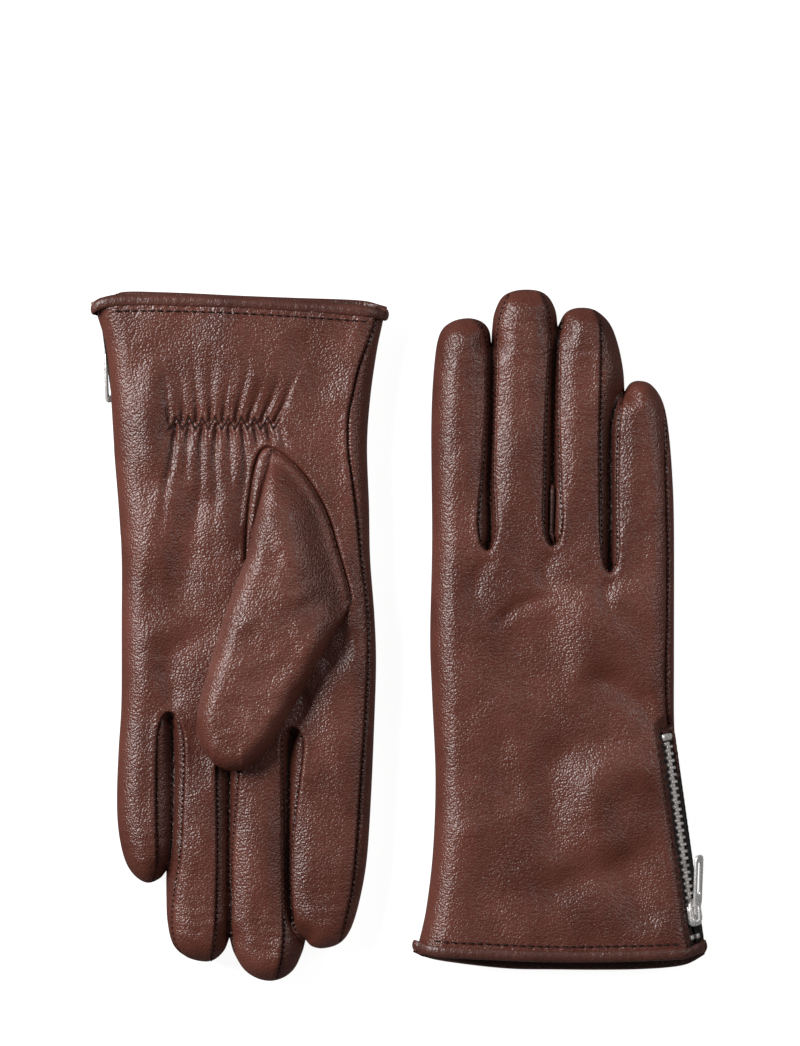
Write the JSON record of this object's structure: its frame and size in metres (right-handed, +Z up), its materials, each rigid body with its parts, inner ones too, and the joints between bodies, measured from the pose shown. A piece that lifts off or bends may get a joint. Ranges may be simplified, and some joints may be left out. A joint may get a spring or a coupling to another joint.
{
  "type": "touchscreen gloves",
  "caption": "Pair of lined leather gloves with sewn fourchettes, folded thumbs, elasticated wrists and a short metal zip with a sliding pull at each cuff.",
  "frame": {"origin": "under the middle of the pair's box, on the surface that the gloves lie on", "axes": "+Z up; +Y from the right glove's cuff to its fingertips; +X from the left glove to the right glove. The left glove lies palm up with its fingers towards -Y"},
  "size_m": [0.2182, 0.2456, 0.0299],
  "materials": {
    "leather_back": "soft brown nappa, low sheen",
    "leather_palm": "soft brown nappa, low sheen",
    "leather_fourchette": "soft brown nappa, low sheen",
    "leather_binding": "folded and rolled edge",
    "lining": "brushed knit",
    "elastic": "woven elastic",
    "thread": "satin thread",
    "zip_tape": "woven tape",
    "zip_metal": "bright nickel",
    "slider_metal": "polished nickel"
  },
  "bodies": {
    "right_glove": {"right_back_leather": "leather_back", "right_cuff_binding": "leather_binding", "right_cuff_facing": "lining", "right_cuff_stitches": "thread", "right_elastic_zigzag_thread": "thread", "right_fourchette_index_middle": "leather_fourchette", "right_fourchette_middle_ring": "leather_fourchette", "right_fourchette_ring_little": "leather_fourchette", "right_hand_lining": "lining", "right_palm_leather": "leather_palm", "right_wrist_elastic": "elastic", "right_zip_bottom_stop": "zip_metal", "right_zip_stitches": "thread", "right_zip_tape_inner": "zip_tape", "right_zip_tape_outer": "zip_tape", "right_zip_teeth_inner": "zip_metal", "right_zip_teeth_outer": "zip_metal", "right_zip_top_stops": "zip_metal"},
    "left_glove": {"left_back_leather": "leather_back", "left_cuff_binding": "leather_binding", "left_cuff_facing": "lining", "left_cuff_stitches": "thread", "left_elastic_zigzag_thread": "thread", "left_fourchette_index_middle": "leather_fourchette", "left_fourchette_middle_ring": "leather_fourchette", "left_fourchette_ring_little": "leather_fourchette", "left_hand_lining": "lining", "left_palm_leather": "leather_palm", "left_wrist_elastic": "elastic", "left_zip_bottom_stop": "zip_metal", "left_zip_stitches": "thread", "left_zip_tape_inner": "zip_tape", "left_zip_tape_outer": "zip_tape", "left_zip_teeth_inner": "zip_metal", "left_zip_teeth_outer": "zip_metal", "left_zip_top_stops": "zip_metal"},
    "right_slider": {"right_zip_slider": "slider_metal"},
    "right_pull": {"right_zip_pull": "slider_metal"},
    "right_thumb": {"right_thumb_leather": "leather_palm", "right_thumb_lining": "lining"},
    "left_slider": {"left_zip_slider": "slider_metal"},
    "left_pull": {"left_zip_pull": "slider_metal"},
    "left_thumb": {"left_thumb_leather": "leather_palm", "left_thumb_lining": "lining"}
  },
  "joints": [
    {"name": "left_lift", "type": "slide", "parent": "right_glove", "child": "left_glove", "axis": [0, 0, 1], "range_m": [0, 0.15]},
    {"name": "right_zip_slide", "type": "slide", "parent": "right_glove", "child": "right_slider", "axis": [-0.1392, 0.9903, 0], "range_m": [0, 0.054], "deforming": ["right_zip_teeth_inner", "right_zip_teeth_outer"]},
    {"name": "right_pull_swing", "type": "hinge", "parent": "right_slider", "child": "right_pull", "pos_m": [0.10435, -0.09879, 0.01742], "axis": [0.6365, 0.0895, -0.766], "range_deg": [-12, 168]},
    {"name": "right_thumb_fold", "type": "hinge", "parent": "right_glove", "child": "right_thumb", "pos_m": [0.02405, -0.04035, 0.0006], "axis": [-0.4988, 0.8667, 0], "range_deg": [0, 90]},
    {"name": "left_zip_slide", "type": "slide", "parent": "left_glove", "child": "left_slider", "axis": [0.1392, -0.9903, 0], "range_m": [0, 0.045], "deforming": ["left_zip_teeth_inner", "left_zip_teeth_outer"]},
    {"name": "left_pull_swing", "type": "hinge", "parent": "left_slider", "child": "left_pull", "pos_m": [-0.10435, 0.10439, 0.00378], "axis": [0.6365, 0.0895, -0.766], "range_deg": [0, 180]},
    {"name": "left_thumb_fold", "type": "hinge", "parent": "left_glove", "child": "left_thumb", "pos_m": [-0.02405, 0.04595, 0.0186], "axis": [-0.4988, 0.8667, 0], "range_deg": [0, 90]}
  ]
}
